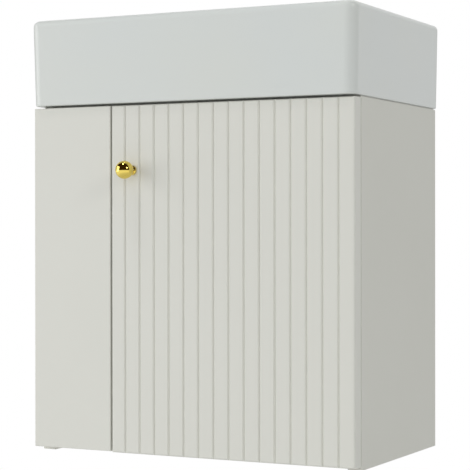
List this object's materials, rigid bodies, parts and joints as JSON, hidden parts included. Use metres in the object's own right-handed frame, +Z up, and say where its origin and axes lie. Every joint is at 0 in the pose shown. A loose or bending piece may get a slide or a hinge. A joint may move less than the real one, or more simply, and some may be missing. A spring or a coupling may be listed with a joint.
{
  "type": "wall-hung vanity unit",
  "caption": "Narrow wall-hung bathroom vanity: ceramic basin with overflow on a white cabinet with a fixed panel and a grooved door that swings on concealed link hinges.",
  "frame": {"origin": "on the wall plane, in the middle of the four wall bolts", "axes": "+X to the unit's right as seen from the room, +Y into the wall, +Z up"},
  "size_m": [0.3998, 0.269, 0.4885],
  "materials": {
    "ceramic": "gloss white glaze",
    "silicone": "translucent white silicone",
    "chrome": "polished chrome",
    "white_board": "white satin melamine board",
    "white_lacquer": "white satin lacquer on fibreboard",
    "beech": "plain beech",
    "zinc": "die-cast zinc, matt",
    "bright_steel": "bright zinc-plated steel",
    "nickel": "nickel-plated steel",
    "bumper_rubber": "clear soft rubber",
    "gold": "mirror-polished gold plating"
  },
  "bodies": {
    "cabinet": {"basin": "ceramic", "basin_seal": "silicone", "overflow_ring": "chrome", "left_side_panel": "white_board", "right_side_panel": "white_board", "bottom_panel": "white_board", "front_rail": "white_board", "hanging_rail": "white_board", "lower_rail": "white_board", "door_stile": "white_board", "fixed_panel": "white_lacquer", "carcass_dowels": "beech", "cams": "zinc", "mounting_plate_upper": "zinc", "mounting_plate_lower": "zinc", "panel_brackets": "bright_steel", "bracket_screws": "bright_steel", "cam_bolts": "bright_steel", "plate_screws": "bright_steel", "arm_pins_upper": "bright_steel", "arm_pins_lower": "bright_steel", "arm_screws_upper": "bright_steel", "arm_screws_lower": "bright_steel", "hinge_arm_upper": "nickel", "hinge_arm_lower": "nickel", "door_bumpers": "bumper_rubber"},
    "outer_links": {"outer_link_upper": "nickel", "outer_link_lower": "nickel"},
    "inner_links": {"inner_link_upper": "nickel", "inner_link_lower": "nickel"},
    "door_leaf": {"door": "white_lacquer", "knob": "gold", "knob_screw": "bright_steel", "cup_screws": "bright_steel", "hinge_cup_upper": "nickel", "hinge_cup_lower": "nickel", "cup_pins_upper": "bright_steel", "cup_pins_lower": "bright_steel"}
  },
  "joints": [
    {"name": "outer_links_turn", "type": "hinge", "parent": "cabinet", "child": "outer_links", "pos_m": [0.16401, -0.21, 0], "axis": [0, 0, 1], "range_deg": [-22.5, 0]},
    {"name": "door_swing", "type": "hinge", "parent": "outer_links", "child": "door_leaf", "pos_m": [0.18952, -0.22726, 0], "axis": [0, 0, 1], "range_deg": [0, 117]},
    {"name": "inner_links_turn", "type": "hinge", "parent": "cabinet", "child": "inner_links", "pos_m": [0.16986, -0.23276, 0], "axis": [0, 0, 1], "range_deg": [-29, 0]}
  ],
  "couplings": [
    {"joint": "outer_links_turn", "follows": "door_swing", "ratio": -0.18838},
    {"joint": "inner_links_turn", "follows": "door_swing", "ratio": -0.2443}
  ]
}
